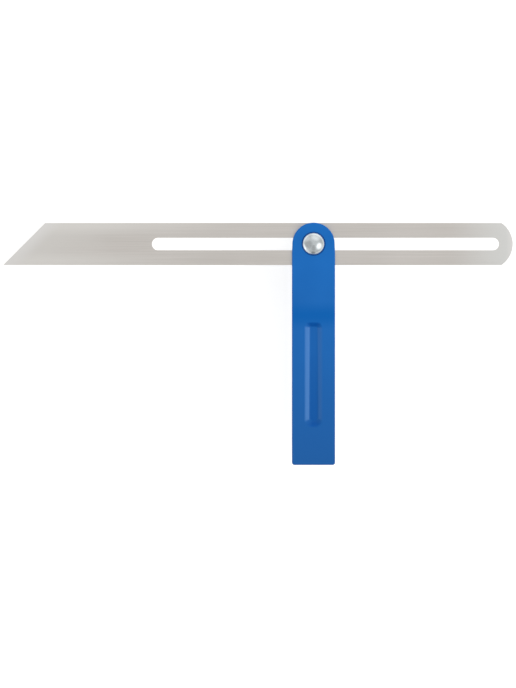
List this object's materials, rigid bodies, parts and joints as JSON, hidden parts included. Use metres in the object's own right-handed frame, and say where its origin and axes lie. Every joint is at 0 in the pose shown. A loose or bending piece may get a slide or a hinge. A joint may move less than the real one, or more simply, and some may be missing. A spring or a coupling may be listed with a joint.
{
  "type": "sliding bevel",
  "caption": "Sliding bevel: flat steel blade with a long slot, 45 degree point and round end, clamped in a slotted blue metal handle by a domed bolt and a wing nut.",
  "frame": {"origin": "under the middle of the tool's outline, at the height of the wing nut's tips, with the blade square to the handle and set as in the picture", "axes": "+X along the blade towards its round end, +Y along the handle from its square end towards the bolt, +Z out of the face that shows the bolt's domed head"},
  "size_m": [0.254, 0.1204, 0.0299],
  "materials": {
    "blue_paint": "satin blue powder coat on a zinc alloy die casting",
    "satin_steel": "satin, fine grain along the length",
    "bright_plate": "smooth bright nickel plate",
    "plain_steel": "plain rolled",
    "zinc_plate": "clear zinc plate"
  },
  "bodies": {
    "handle": {"handle": "blue_paint", "clamp_bolt": "bright_plate"},
    "pivot_washers": {"front_friction_washer": "plain_steel", "back_friction_washer": "plain_steel"},
    "blade": {"blade": "satin_steel"},
    "nut_washer": {"flat_washer": "zinc_plate"},
    "wing_nut": {"wing_nut": "zinc_plate"}
  },
  "joints": [
    {"name": "blade_swing", "type": "hinge", "parent": "handle", "child": "pivot_washers", "pos_m": [0.0277, 0.0497, 0.02115], "axis": [0, 0, 1], "range_deg": [-77, 77]},
    {"name": "blade_slide", "type": "slide", "parent": "pivot_washers", "child": "blade", "axis": [1, 0, 0], "range_m": [-0.0889, 0.077]},
    {"name": "nut_travel", "type": "slide", "parent": "handle", "child": "nut_washer", "axis": [0, 0, -1], "range_m": [0, 0.0021]},
    {"name": "nut_turn", "type": "hinge", "parent": "nut_washer", "child": "wing_nut", "pos_m": [0.0277, 0.0497, 0.0135], "axis": [0, 0, -1], "range_deg": [0, 720]}
  ],
  "couplings": [
    {"joint": "nut_travel", "follows": "nut_turn", "m_per_rad": 0.00015915}
  ]
}
